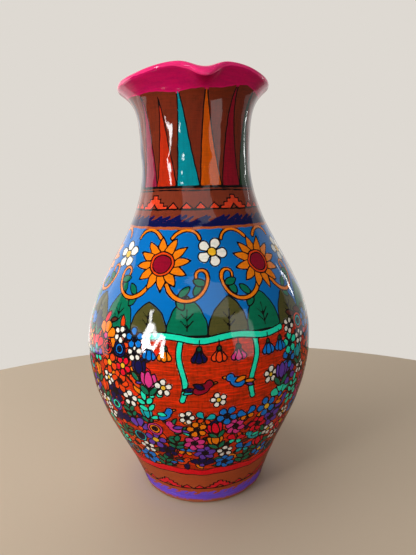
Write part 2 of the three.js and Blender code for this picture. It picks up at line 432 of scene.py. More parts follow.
class Patch:
    """Rows and columns of the skin that are painted together."""

    def set_up(self, skin, rows, columns):
        self.skin = skin
        self.index = np.ix_(rows, columns)
        self.hand = skin.hand[self.index]

    def fill(self, distance, shade, brush, ink=None, hand=HAND):
        """Paints the inside of a shape. The shape takes a code that no neighbour has,
        held as the signs of the three fields, so an outline runs all round it. Inside
        it, the fields keep the larger distance where their sign stays, and take the
        distance to its edge where the sign turns. Outside, they take the smaller one."""
        skin = self.skin
        distance = distance + self.hand * hand
        if not (distance < CAP).any():
            return
        edge = skin.edge[self.index]
        codes = (edge < 0) @ np.array((1, 2, 4))
        close = (distance > NEIGHBOURS[0]) & (distance < NEIGHBOURS[1])
        used = np.bincount(codes[close], minlength=CODES)
        code = int(np.argmin(used))
        inside = distance < 0
        size = np.abs(distance)
        for bit in range(3):
            field = edge[..., bit]
            negative = bool(code >> bit & 1)
            sign = -1.0 if negative else 1.0
            turns = (field < 0) != negative
            within = np.where(turns, size, np.maximum(np.abs(field), size))
            beyond = np.where(turns, np.minimum(np.abs(field), size), np.abs(field))
            kept = np.where(field < 0, -1.0, 1.0) * beyond
            edge[..., bit] = np.where(inside, sign * np.minimum(within, CAP), kept)
        skin.edge[self.index] = edge
        line = skin.line[self.index]
        skin.line[self.index] = np.where(inside, np.maximum(line, size), line)
        self.lay(skin.paint, inside, (*shade, brush))
        self.lay(skin.ink, distance < INK_REACH, shade if ink is None else ink)

    def lay(self, layer, where, value):
        """Lays a value into a layer of the skin, over a part of the patch."""
        part = layer[self.index]
        part[where] = value
        layer[self.index] = part

    def outlined(self, distance, shade, brush=0.35, hand=HAND):
        """A shape with a dark outline, in a colour or a named paint."""
        shade = PALETTE[shade] if isinstance(shade, str) else shade
        self.fill(distance, shade, brush, self.skin.black, hand)

    def stroke(self, distance, half=0.46, ink=None):
        """A thin line, given the distance to its middle."""
        line = self.skin.line[self.index]
        distance = np.abs(distance) + self.hand * 0.08 - half
        self.skin.line[self.index] = np.minimum(line, distance)
        ink = self.skin.black if ink is None else ink
        self.lay(self.skin.ink, distance < LINE_REACH, ink)


class Spot(Patch):
    """A patch round one place."""

    def __init__(self, skin, turn, distance, reach, lean):
        rows = np.flatnonzero(np.abs(skin.distance - distance) < reach)
        radius = skin.radius[rows]
        swing = np.angle(np.exp(1j * (TURN - turn)))
        columns = np.flatnonzero(np.abs(swing) < reach / radius.min())
        self.set_up(skin, rows, columns)
        x = radius[:, None] * swing[columns]
        y = np.broadcast_to((skin.distance[rows] - distance)[:, None], x.shape)
        self.x, self.y = turned(x, y, lean)

    def at(self, dx, dy, angle):
        """Distances from a place within the patch, in a frame turned by an angle."""
        return turned(self.x - dx, self.y - dy, angle)

    def dot(self, radius, shade, up=0.0):
        """A disc with a dark outline."""
        self.outlined(disc(self.x, self.y - up, radius), shade)

    def stem(self, low, high):
        """A thin upright line."""
        self.stroke(straight(self.x, self.y, (0, low), (0, high)))


class Belt(Patch):
    """A patch all the way round."""

    def __init__(self, skin, first, last):
        rows = np.flatnonzero((skin.distance >= first) & (skin.distance <= last))
        self.set_up(skin, rows, np.arange(COLUMNS))
        self.rise = skin.distance[rows][:, None]
        self.radius = skin.radius[rows][:, None]
        self.turn = TURN[None, :]

    def between(self, low, high):
        """Distance to a band between two heights, which may change round the pot."""
        low, high = (self.skin.pot.outer(value) for value in (low, high))
        return np.maximum(low - self.rise, self.rise - high)

    def above(self, height):
        """How far the skin is above a height."""
        return self.rise - self.skin.pot.outer(height)

    def cells(self, count):
        """Splits the belt into equal cells: the number of each place's cell, and the
        distance across from the cell's middle."""
        share = self.turn * count / (2 * np.pi)
        number = np.floor(share)
        across = (share - number - 0.5) * 2 * np.pi / count * self.radius
        return number.astype(int) % count, across


# The paints of the motifs, and those that the garden's flowers and leaves draw from.
PALETTE = {
    "blue": linear(0, 122, 214),
    "navy": linear(8, 14, 72),
    "red": linear(240, 10, 44),
    "crimson": linear(150, 8, 40),
    "orange": linear(252, 130, 8),
    "flame": linear(244, 70, 14),
    "purple": linear(104, 62, 172),
    "teal": linear(0, 178, 182),
    "turquoise": linear(26, 236, 190),
    "green": linear(0, 114, 80),
    "deep_green": linear(12, 66, 44),
    "olive": linear(84, 80, 36),
    "pink": linear(228, 56, 136),
    "cream": linear(255, 247, 232),
    "yellow": linear(250, 190, 40),
    "umber": linear(92, 40, 24),
    "dark": linear(16, 12, 22),
}
BRIGHT = ("blue", "red", "orange", "purple", "navy", "teal", "flame", "turquoise", "pink")
LEAVES = ("dark", "umber", "orange", "green", "flame", "dark", "olive", "red", "navy")


def spray(spot, size, form, up, angles, long, wide, shade):
    """Leaves or petals that stand on one place, each turned by its angle. The place, the
    length and the width are shares of a size."""
    for angle in angles:
        x, y = spot.at(0.0, size * up, angle)
        spot.outlined(form(x, y, size * long, size * wide), shade)


def flower(spot, size, petals, shade, heart, start=0.0, pointed=0.0):
    """Petals about a heart. They have round ends, or two points and a share of the ring
    that is given."""
    form, wide, middle = (leaf, pointed, 0.14) if pointed else (drop, 1.75, 0.15)
    angles = start + 2 * np.pi * np.arange(petals) / petals
    spray(spot, size, form, 0.0, angles, 0.5, wide / petals, shade)
    spot.dot(size * middle, heart)


def ring_flower(spot, size, shades):
    """Discs laid one on another, each smaller."""
    for k, shade in enumerate(shades):
        spot.dot(size / 2 * (1.0 - k / len(shades)), shade)


def tulip(spot, size, shade, leaves):
    """Two low leaves, then an outer petal to each side and one before them."""
    spray(spot, size, leaf, -0.5, (-0.75, 0.75), 0.55, 0.24, leaves)
    spray(spot, size, leaf, -0.22, (-0.42, 0.42, 0.0), 0.7, 0.36, shade)


def bird(spot, size, shade, wing, tail, facing=1):
    """A small bird: tail, body, head, beak, and a wing laid over the body."""
    x, y = spot.x * facing, spot.y
    for angle, feather in ((1.95, tail), (1.6, wing)):
        back = turned(x + size * 0.14, y + size * 0.02, angle)
        spot.outlined(leaf(*back, size * 0.46, size * 0.15), feather)
    beak = turned(x - size * 0.34, y - size * 0.19, -1.5)
    spot.outlined(leaf(*beak, size * 0.18, size * 0.1), "orange")
    body = np.minimum(
        oval(*turned(x, y, 0.35), size * 0.27, size * 0.17),
        disc(x - size * 0.25, y - size * 0.18, size * 0.135),
    )
    spot.outlined(body, shade)
    lifted = turned(x - size * 0.1, y - size * 0.01, 1.2)
    spot.outlined(leaf(*lifted, size * 0.38, size * 0.18), wing)
    spot.stroke(disc(x - size * 0.27, y - size * 0.2, 0.0), 0.55)


def butterfly(spot, size, upper, lower):
    """Four wings about a dark body."""
    for side in (-1, 1):
        spray(spot, size, drop, 0.0, (side * 2.2,), 0.36, 0.26, lower)
        spray(spot, size, drop, 0.0, (side * 1.0,), 0.5, 0.36, upper)
    spot.stem(-size * 0.2, size * 0.22)


def sprig(spot, size, shade):
    """A stem with two pairs of leaves and one at the tip."""
    spot.stem(-size / 2, size * 0.2)
    for up in (-0.42, -0.12):
        spray(spot, size, leaf, up, (-0.95, 0.95), 0.46, 0.24, shade)
    spray(spot, size, leaf, 0.05, (0.0,), 0.48, 0.26, shade)


def lily(spot, size, shade, heart):
    """A wide cup of three petals on a round calyx."""
    spray(spot, size, drop, -0.3, (-0.85, 0.85, 0.0), 0.72, 0.42, shade)
    spot.dot(size * 0.15, heart, -size * 0.26)


def bell(spot, size, shade):
    """A hanging flower: a stalk, three petals that point down and a dark cap."""
    spot.stem(size * 0.25, size * 0.75)
    spray(spot, size, drop, 0.34, (2.72, 3.56, np.pi), 0.72, 0.34, shade)
    spot.dot(size * 0.13, "deep_green", size * 0.32)


# Heights of the edges of the painted grounds, in millimetres.
FOOT_PAINT = 3.7
COLLAR_PAINT = 204.4
PENNANT_FOOT = 231.6
NECK_PAINT_TOP = 298.3


def grounds(skin, colours):
    """The plain grounds, one above the other, with edges a little uneven."""
    turn = TURN[None, :]
    uneven = 0.3 * (0.35 * np.sin(5 * turn + 1.0) + 0.25 * np.sin(11 * turn))
    layers = (
        (FOOT_PAINT + uneven, 14.0, colours.border, 0.25),
        (12.0, 40.0, colours.border, 0.25),
        (36.0, 146.0, colours.field, 1.0),
        (144.0, 206.0, colours.shoulder, 0.12),
        (COLLAR_PAINT + uneven, 232.0, colours.collar, 0.3),
        (230.8, NECK_PAINT_TOP, colours.neck, 0.5),
    )
    for low, high, shade, brush in layers:
        belt = skin.belt(np.min(low), np.max(high), 6.0)
        belt.fill(belt.between(low, high), shade, brush)
    skin.varnish[skin.distance[:, None] < skin.pot.outer(FOOT_PAINT + uneven)] = 0.0


def rim_edge(turn):
    """Height of the hand-drawn edge of the magenta: lowest under the spout and at the
    back, with one more rise to the right of the spout."""
    waved = 0.5 * np.sin(4 * turn + 0.6) + 0.35 * np.sin(9 * turn + 2.0)
    rise = 2.8 * np.exp(-(((turn - 0.72) / 0.42) ** 2))
    return 290.6 + waved + rise + 0.9 * (1.0 - np.cos(2 * turn))


def rim_ground(skin, colours):
    """Magenta from its edge under the flare, over the lip, to an edge inside, with a painted
    highlight: lighter magenta along the lip's rounded edge, lower under the spout."""
    turn = TURN[None, :]
    pot = skin.pot
    belt = skin.belt(286.0, 300.0, 60.0)
    start = pot.outer(rim_edge(turn))
    stop = pot.inner(289.5 + 0.8 * np.sin(3 * turn) + 0.5 * np.sin(7 * turn))
    magenta = np.maximum(start - belt.rise, belt.rise - stop)
    belt.fill(magenta, colours.lip, 0.35)
    # Painted highlight: a lighter magenta band over the lip's rounded edge, where light from
    # above falls, reaching lower under the spout.
    uneven = 0.3 * np.sin(5 * turn) + 0.2 * np.sin(13 * turn + 1.0)
    low = pot.distance[pot.outer_end] + 2.0 + uneven - 1.6 * np.exp(-((turn / 0.2) ** 2))
    high = pot.distance[pot.inner_start] + 1.0
    roll = np.maximum(low - belt.rise, belt.rise - high)
    belt.fill(roll, colours.lip_edge, 0.25)
    skin.varnish[skin.distance[:, None] > stop] = 0.0


def brushed_border(skin, base, solid, tip, count, shade, seed):
    """A solid band with a row of leaning brush strokes along its upper edge."""
    rng = np.random.default_rng(seed)
    belt = skin.belt(base, tip, 5.0)
    shape = belt.between(base, solid)
    number, across = belt.cells(count)
    tall = rng.uniform(0.75, 1.05, count) * (tip - solid)
    slant = rng.uniform(1.3, 2.1, count)
    shift = rng.uniform(-0.9, 0.9, count)
    up = belt.above(solid)
    cell = 2 * np.pi / count * belt.radius
    for step in (-1, 0, 1):
        k = (number + step) % count
        x = across - step * cell - shift[k]
        start, end = (-1.6 * slant[k], -1.6), (slant[k] * tall[k], tall[k])
        shape = np.minimum(shape, taper(x, up, start, end, 1.15, 0.45))
    belt.fill(shape, shade, 0.3)


def stepped_border(skin, base, half, tall, units, between, start, shade, ground):
    """Pyramids of four steps, with small triangles between them, all on one base line."""
    length = 2 * np.pi * skin.pot.radius(base) / units
    spacing = (length - 2 * half) / between
    for unit in range(units):
        place = start + 360.0 / units * unit
        for k in range(between):
            away = length / 2 + (k + 0.5 - between / 2) * spacing
            spot = skin.spot(place + away / length * 360.0 / units, base, 9.0)
            small = tent(spot.x, spot.y - 0.3, 0.47 * spacing, 0.46 * tall)
            spot.outlined(small, shade, hand=0.15)
        spot = skin.spot(place, base, 1.6 * half)
        steps = [
            block(spot.x, spot.y, half * (1.0 - 0.27 * k), tall * (k + 1) / 4)
            for k in range(4)
        ]
        spot.outlined(functools.reduce(np.minimum, steps), shade, hand=0.2)
        spot.outlined(tent(spot.x, spot.y + 0.2, 0.36 * half, 0.36 * tall), ground)
    ring(skin, base)


def ring(skin, height):
    """A thin dark line round the pot, a little uneven."""
    belt = skin.belt(height, height, 3.0)
    belt.stroke(belt.above(height) + 0.15 * np.sin(7 * belt.turn + height), 0.5)


def pennants(skin):
    """Tall narrow triangles round the neck. Each narrows evenly to its tip, which
    leans a little to one side and ends above or below the magenta's edge."""
    shades = (
        (linear(0, 138, 150), -6.0, 6.0),
        (linear(204, 84, 2), -3.4, 5.5),
        (linear(146, 12, 34), 2.5, 5.0),
        (linear(14, 58, 24), 3.0, 3.0),
        ("navy", 1.5, 2.0),
        (linear(146, 26, 58), -1.5, 2.0),
        (linear(188, 42, 12), -3.0, -3.0),
    )
    count = 17
    step = 2 * np.pi / count
    belt = skin.belt(PENNANT_FOOT, NECK_PAINT_TOP, 3.0)
    bottom = skin.pot.outer(PENNANT_FOOT)
    for k in range(count):
        number = k if k <= count // 2 else k - count
        shade, lean, past = shades[number % len(shades)]
        middle = np.radians(-4.5) + step * (k - 0.5)
        tip = rim_edge(middle + np.radians(lean)) + past
        share = np.clip((belt.rise - bottom) / (skin.pot.outer(tip) - bottom), 0, 1)
        centre = middle + np.radians(lean) * share
        swing = np.angle(np.exp(1j * (belt.turn - centre)))
        half = step / 2 * belt.radius * (1.0 - share) ** 1.1 - 0.1
        shape = np.maximum(np.abs(swing) * belt.radius - half, bottom - belt.rise)
        shape = np.maximum(shape, belt.rise - skin.pot.outer(tip))
        belt.outlined(shape, shade, 0.4, 0.12)


def leaf_row(skin):
    """A row of broad upright leaves along the foot of the blue ground."""
    count = 20
    rng = np.random.default_rng(31)
    for k in list(range(0, count, 2)) + list(range(1, count, 2)):
        place = 360.0 / count * (k + 0.25)
        tall = rng.uniform(20.0, 24.5) + (2.0 if k % 2 else 0.0)
        spot = skin.spot(place, 142.0, 32.0)
        x, y = spot.at(0.0, 0.0, rng.uniform(-0.1, 0.1))
        blade = np.maximum(leaf(x, y + tall, 2 * tall, 26.0), -spot.y)
        spot.outlined(blade, "green" if k % 2 else "olive", 0.45)
        spot.stroke(straight(x, y, (0, 3.0), (0, tall * 0.66)), 0.42)
        for side in (-1, 1):
            for up in (5.0, 9.5):
                spot.stroke(straight(x, y, (0, up), (side * 3.8, up + 4.2)), 0.42)


def tendril(spot, side):
    """A stem that sweeps out from under a blossom, turns up and ends in a hook, with
    leaves to either side, and a shorter one above."""
    sweep = cubic(((6, -14), (13, -29), (33, -27), (31.5, -10)), 14)
    hook = cubic(((31.5, -10), (30, -1), (21, -3), (24, -9)), 8)
    low = np.concatenate((sweep, hook[1:])) * (side, 1)
    high = cubic(((4, 18), (9, 26), (19, 25), (22, 17)), 10) * (side, 1)
    for dx, dy, angle in ((14, -22, 2.5), (15, -22, 0.7), (25, -21, 0.25), (31, -14, -1.2)):
        x, y = spot.at(side * dx, dy, -side * angle)
        spot.outlined(leaf(x, y, 9.5, 4.8), "green", hand=0.15)
    for line, first in ((low, 3.2), (high, 2.8)):
        widths = np.linspace(first, 1.9, len(line))
        spot.outlined(ribbon(spot.x, spot.y, line, widths), "orange", hand=0.1)


def blossoms(skin):
    """Large orange blossoms and small cream ones on the blue, joined by tendrils."""
    count = 6
    for k in range(count):
        spot = skin.spot(360.0 / count * (k + 0.5), 183.0, 50.0)
        for side in (-1, 1):
            tendril(spot, side)
    for k in range(count):
        spot = skin.spot(360.0 / count * (k + 0.5), 182.0 + k % 2, 26.0)
        flower(spot, 38.0, 12, "orange", "crimson", 0.13, 1.95)
        spot.dot(8.4, "flame")
        spot.dot(6.4, "crimson")
        spot = skin.spot(360.0 / count * k, 190.0 - 3.0 * (k % 2), 16.0, 0.4 * (k % 3 - 1))
        flower(spot, 20.0, 5, "cream", "yellow", 0.2 * k)


# Where the middles of the three open fields of red lie, in degrees.
FIELDS = (0.0, 120.0, 240.0)


def openness(degrees):
    """1 in the middle of the open fields, falling to 0 between them."""
    return smooth(0.30, 0.72, (1.0 + np.cos(np.radians(3.0 * degrees))) / 2.0)


def vine(skin):
    """A turquoise vine along the top of each open field, with hanging bells."""
    shades = ("blue", "orange", "navy", "flame", "pink", "blue")
    top = [(x, 1.3 * np.sin(x / 7.0)) for x in np.linspace(-45, 45, 31)]
    fall = np.arange(0, 41, 4)
    stems = [[(side * (23 + 2.0 * np.sin(t / 6.5)), -t) for t in fall] for side in (-1, 1)]
    for middle in FIELDS:
        spot = skin.spot(middle, 140.5, 66.0)
        for points, wide in ((stems[0], 3.6), (stems[1], 3.6), (top, 4.2)):
            line = ribbon(spot.x, spot.y, points, np.full(len(points), wide))
            spot.outlined(line, "turquoise", hand=0.15)
        for k, across in enumerate((-43, -33, -12, 0, 12, 33, 43)):
            place = middle + np.degrees(across / 83.0)
            bell(skin.spot(place, 130.5, 14.0), 12.5, shades[k % 6])


def fillers(skin, rng):
    """Leaves at all angles that close the ground between the flowers."""
    for up in np.arange(42.0, 148.0, 7.0):
        count = int(2 * np.pi * skin.pot.radius(up) / 10.4)
        for k in range(count):
            place = 360.0 * (k + rng.uniform(0, 0.8)) / count - 180.0
            angle = rng.uniform(-2.6, 2.6)
            shade = LEAVES[rng.integers(len(LEAVES))]
            size = rng.uniform(8.0, 11.5)
            if up > 87.0 + 60.0 * (1.0 - openness(place)):
                continue
            spot = skin.spot(place, up, 13.0, angle)
            spot.outlined(leaf(spot.x, spot.y + size / 2, size, size * 0.42), shade)


def garden(skin):
    """Rows of flowers, birds and butterflies, packed close, low on the belly and in
    three columns that climb between the open fields."""
    rng = np.random.default_rng(12)
    fillers(skin, rng)
    for row, up in enumerate(np.arange(46.0, 145.0, 10.4)):
        count = int(round(2 * np.pi * skin.pot.radius(up) / 13.4))
        for k in rng.permutation(count):
            place = 360.0 * (k + 0.5 * (row % 2)) / count - 180.0
            place += rng.uniform(-0.12, 0.12) * 360.0 / count
            here = up + rng.uniform(-1.4, 1.4)
            kind = rng.integers(0, 12)
            first, second, third = (BRIGHT[i] for i in rng.permutation(len(BRIGHT))[:3])
            size = rng.uniform(13.5, 16.5)
            lean = rng.uniform(-0.3, 0.3)
            if here > 89.0 + 58.0 * (1.0 - openness(place)):
                continue
            spot = skin.spot(place, here, 13.0, lean)
            heart = "dark" if rng.random() < 0.6 else "yellow"
            if kind in (0, 1):
                flower(spot, size, 5, first, heart, lean)
            elif kind == 2:
                flower(spot, size + 1.0, 6, first, "dark", lean, 2.1)
            elif kind in (3, 4):
                tulip(spot, size, first, "green")
            elif kind in (5, 6):
                flower(spot, size * 0.8, 5, "cream", heart, lean)
            elif kind == 7:
                ring_flower(spot, size * 0.72, (first, second, "dark"))
            elif kind == 8:
                bird(spot, size * 1.15, first, second, third, 1 if lean > 0 else -1)
            elif kind == 9:
                butterfly(spot, size, first, second)
            elif kind == 10:
                lily(spot, size, first, second)
            else:
                sprig(spot, size, "turquoise" if row % 2 else "green")


def open_row(skin):
    """Birds and blossoms set well apart across the open fields."""
    for middle in FIELDS:
        for across in (-45, -35, -11, 0, 12, 36, 46):
            place = middle + np.degrees(across / 86.0)
            spot = skin.spot(place, 112.0 - abs(across) % 4, 16.0)
            if abs(across) in (35, 36):
                flower(spot, 12.0, 5, "cream", "yellow")
            elif abs(across) in (11, 12):
                left, right = ("crimson", "navy", "teal"), ("blue", "orange", "purple")
                bird(spot, 20.0, *(left if across < 0 else right), 1 if across < 0 else -1)
            elif across:
                tulip(spot, 17.0, "pink" if across < 0 else "purple", "green")
            else:
                low = skin.spot(place, 101.0, 12.0)
                flower(low, 11.0, 5, "cream", "yellow", 0.3)


def ground_line(skin):
    """A red wave along the foot of the garden."""
    belt = skin.belt(31.0, 40.0, 4.0)
    wave = 0.9 * np.sin(9 * belt.turn) + 0.5 * np.sin(23 * belt.turn + 1.0)
    belt.outlined(belt.between(32.4 + 0.5 * wave, 38.6 + wave), linear(250, 14, 34), 0.4)


def seam_line(skin):
    """A fine orange line where the collar's brown ends on the blue."""
    belt = skin.belt(COLLAR_PAINT, COLLAR_PAINT, 3.0)
    seam = belt.above(205.0 + 0.15 * np.sin(6 * belt.turn))
    belt.stroke(seam, 0.3, linear(176, 84, 38))


# The pot's pieces from the foot up, with the number of painted rows that each has.
PAINTED_ROWS = {
    "floor_slab": 8, "lower_body": 141, "upper_body": 112, "neck": 98,
    "rim_and_pouring_lip": 78,
}


@functools.lru_cache(maxsize=1)
def painted(sizes, colours):
    """The pot and its painted skin, and the rows of the skin that each piece has."""
    pot = Pot(sizes)
    heights = (FOOT_BEVEL, SLAB_TOP, BELLY_SEAM, NECK_SEAM, RIM_SEAM)
    ends = [*(pot.outer(height) for height in heights), pot.inner(RIM_SEAM)]
    distances = []
    rows = {}
    total = 0
    for (name, count), first, last in zip(PAINTED_ROWS.items(), ends, ends[1:]):
        distances.append(np.linspace(first, last, count))
        rows[name] = slice(total, total + count)
        total += count
    skin = Skin(pot, np.concatenate(distances), colours)
    grounds(skin, colours)
    brushed_border(skin, base=4.9, solid=9.2, tip=12.4, count=46, shade=colours.foot, seed=3)
    stepped_border(
        skin, base=16.3, half=10.2, tall=8.2, units=9, between=2, start=5.0,
        shade=linear(246, 34, 46), ground=colours.border,
    )
    ground_line(skin)
    leaf_row(skin)
    blossoms(skin)
    garden(skin)
    vine(skin)
    open_row(skin)
    navy = PALETTE["navy"]
    brushed_border(skin, base=205.2, solid=208.8, tip=212.8, count=52, shade=navy, seed=4)
    seam_line(skin)
    stepped_border(
        skin, base=216.6, half=10.6, tall=9.8, units=5, between=4, start=-47.0,
        shade=linear(232, 66, 32), ground=colours.collar,
    )
    ring(skin, 229.0)
    pennants(skin)
    ring(skin, 231.2)
    rim_ground(skin, colours)
    return pot, skin, rows


# Meshes

# Rows down the inside of a piece between two seams.
INSIDE_ROWS = 12


def quads(rows, columns, closed_rows):
    """Corners of the quads of a grid that closes on itself round the columns, and, if
    asked, from the last row back to the first."""
    lower = np.arange(rows if closed_rows else rows - 1)[:, None]
    upper = (lower + 1) % rows
    left = np.arange(columns)[None, :]
    right = (left + 1) % columns
    low, high = lower * columns, upper * columns
    return np.stack((low + left, low + right, high + right, high + left), -1).reshape(-1, 4)


def caps(count, columns):
    """Fans of triangles that close the first and last rows of a grid of so many points,
    each about a middle point that follows the grid's own."""
    left = np.arange(columns)
    right = (left + 1) % columns
    end = count - columns
    first = np.stack((np.full(columns, count), right, left), 1)
    return first, np.stack((np.full(columns, count + 1), end + left, end + right), 1)


def new_piece(name, points, faces, normals=None, attributes=(), smooth=True):
    """A mesh object from whole arrays of points, in millimetres, and of faces."""
    mesh = bpy.data.meshes.new(name)
    mesh.vertices.add(len(points))
    mesh.vertices.foreach_set("co", (points * MM).astype(np.float32).ravel())
    loops = np.concatenate([group.ravel() for group in faces])
    counts = np.concatenate([np.full(*group.shape) for group in faces])
    starts = np.concatenate(((0,), np.cumsum(counts)[:-1]))
    mesh.loops.add(len(loops))
    mesh.loops.foreach_set("vertex_index", loops.astype(np.int32))
    mesh.polygons.add(len(counts))
    mesh.polygons.foreach_set("loop_start", starts.astype(np.int32))
    mesh.polygons.foreach_set("use_smooth", np.full(len(counts), smooth))
    mesh.update(calc_edges=True)
    if mesh.validate(verbose=False):
        raise RuntimeError(f"{name} has faulty faces")
    for attribute, kind, field, values in attributes:
        made = mesh.attributes.new(attribute, kind, "POINT")
        made.data.foreach_set(field, values.astype(np.float32).ravel())
    if normals is not None:
        mesh.normals_split_custom_set_from_vertices(normals.reshape(-1, 3).tolist())
    piece = bpy.data.objects.new(name, mesh)
    bpy.context.scene.collection.objects.link(piece)
    return piece


def paint_attributes(skin, rows, extra):
    """The skin's values for a piece: its own rows, then plain clay for the rest."""
    bare = np.zeros((extra, COLUMNS))
    clay = np.broadcast_to((*skin.clay, 0.0), (extra, COLUMNS, 4))
    paint = np.concatenate((skin.paint[rows], clay))
    alpha = np.ones(paint.shape[:2] + (1,))
    ink = np.concatenate((skin.ink[rows], clay[..., :3]))
    edge = np.concatenate((skin.edge[rows], np.full((extra, COLUMNS, 3), CAP)))
    line = np.concatenate((skin.line[rows], bare + CAP))
    varnish = np.concatenate((skin.varnish[rows], bare))
    return (
        ("paint", "FLOAT_COLOR", "color", paint),
        ("ink", "FLOAT_COLOR", "color", np.concatenate((ink, alpha), -1)),
        ("edge", "FLOAT_VECTOR", "vector", edge),
        ("line", "FLOAT", "value", line),
        ("varnish", "FLOAT", "value", varnish),
    )


def settings():
    """The scene's sizes and colours as plain values."""
    scene = bpy.context.scene
    return plain(scene.pitcher_sizes), plain(scene.pitcher_colours)


def dress(piece, node, material):
    """Gives a piece its material, hangs it under the root body and hides the solid it stands
    for.
    """
    piece.data.materials.append(material)
    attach(piece, "root")
    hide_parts(node)


def ring_piece(name, node, paint, seams=None, level=True):
    """A closed ring of wall: up the outside and down the inside between two seams, or,
    for the rim, wherever its painted rows go."""
    pot, skin, rows = painted(*settings())
    inside = np.empty(0)
    if seams:
        inside = np.linspace(pot.inner(seams[1]), pot.inner(seams[0]), INSIDE_ROWS)
    distances = np.concatenate((skin.distance[rows[node]], inside))
    points, normals = pot.rows(distances, TURN)
    faces = quads(len(points), COLUMNS, True)
    attributes = paint_attributes(skin, rows[node], len(inside))
    piece = new_piece(name, points.reshape(-1, 3), [faces], normals, attributes)
    dress(piece, node, painted_skin(paint, level))


# Materials


class Value:
    """A node's output that can be used in sums, with numbers or with other outputs."""

    def __init__(self, graph, socket):
        self.graph = graph
        self.socket = socket

    def calculate(self, operation, *others, flip=False):
        """Adds a Math node for this output and the others, or for the others first."""
        terms = (self, *others)
        if flip:
            terms = terms[::-1]
        inputs = {k: term for k, term in enumerate(terms)}
        return self.graph.node("ShaderNodeMath", {"operation": operation}, inputs)

    def __add__(self, other):
        return self.calculate("ADD", other)

    __radd__ = __add__

    def __sub__(self, other):
        return self.calculate("SUBTRACT", other)

    def __rsub__(self, other):
        return self.calculate("SUBTRACT", other, flip=True)

    def __mul__(self, other):
        return self.calculate("MULTIPLY", other)

    __rmul__ = __mul__

    def __truediv__(self, other):
        return self.calculate("DIVIDE", other)

    def __abs__(self):
        return self.calculate("ABSOLUTE")

    def least(self, other):
        return self.calculate("MINIMUM", other)

    def most(self, other):
        return self.calculate("MAXIMUM", other)

    def between(self, low, high):
        """0 at low, 1 at high, and clamped to that range."""
        return ((self - low) / (high - low)).most(0.0).least(1.0)


class Graph:
    """The nodes of a material or of the world."""

    def __init__(self, owner):
        self.owner = owner
        owner.use_nodes = True
        self.tree = owner.node_tree
        self.tree.nodes.clear()

    def node(self, kind, options, inputs, output=0):
        """Adds a node, sets its options, then its sockets by name or number, and gives
        one of its outputs."""
        made = self.tree.nodes.new(kind)
        for name, value in options.items():
            setattr(made, name, value)
        for key, value in inputs.items():
            if isinstance(value, Value):
                self.tree.links.new(value.socket, made.inputs[key])
            else:
                made.inputs[key].default_value = value
        return Value(self, made.outputs[output])

    def attribute(self, name, output):
        return self.node("ShaderNodeAttribute", {"attribute_name": name}, {}, output)

    def mix(self, factor, first, second, blend="MIX"):
        """A colour between two colours, or the first blended with the second."""
        inputs = {0: factor}
        for key, value in ((6, first), (7, second)):
            inputs[key] = value if isinstance(value, Value) else (*value[:3], 1.0)
        options = {"data_type": "RGBA", "blend_type": blend}
        return self.node("ShaderNodeMix", options, inputs, 2)

    def place(self):
        return self.node("ShaderNodeTexCoord", {}, {}, "Object")

    def noise(self, vector, scale, detail=2.0, roughness=0.5):
        """Noise from 0 to 1 at so many patches for each metre."""
        inputs = {"Vector": vector, "Scale": scale, "Detail": detail, "Roughness": roughness}
        return self.node("ShaderNodeTexNoise", {}, inputs)

    def streaks(self, vector, across, up, detail=2.0, ahead=None):
        """Noise drawn out into streaks, by its patches for each metre in each direction."""
        sizes = (across, across if ahead is None else ahead, up)
        inputs = {0: vector, 1: sizes}
        drawn = self.node("ShaderNodeVectorMath", {"operation": "MULTIPLY"}, inputs)
        return self.noise(drawn, 1.0, detail, 0.6)

    def bump(self, height):
        """A normal bent by a height in metres."""
        inputs = {"Strength": 1.0, "Distance": 1.0, "Height": height}
        return self.node("ShaderNodeBump", {}, inputs)

    def finish(self, inputs):
        """A shader with these inputs, joined to the material's output."""
        shader = self.node("ShaderNodeBsdfPrincipled", {}, inputs)
        self.end("ShaderNodeOutputMaterial", shader)
        return self.owner

    def varnished(self, shade, roughness, relief):
        """A colour under varnish, with a relief in metres."""
        normal = self.bump(relief)
        inputs = {"Base Color": shade, "Roughness": roughness, "Normal": normal, "IOR": 1.41}
        return self.finish(inputs)

    def end(self, kind, shader):
        """Joins the shader to an output node."""
        out = self.tree.nodes.new(kind)
        self.tree.links.new(shader.socket, out.inputs["Surface"])


def varnish_relief(graph, place):
    """Height of a thick hand-brushed varnish: broad swells, small ripples and specks."""
    swell = graph.noise(place, 90.0, 1.0)
    small = graph.noise(place, 300.0, 1.0)
    grains = graph.noise(place, 640.0, 1.0)
    return swell * 0.00016 + small * 0.000013 + grains * 0.000008


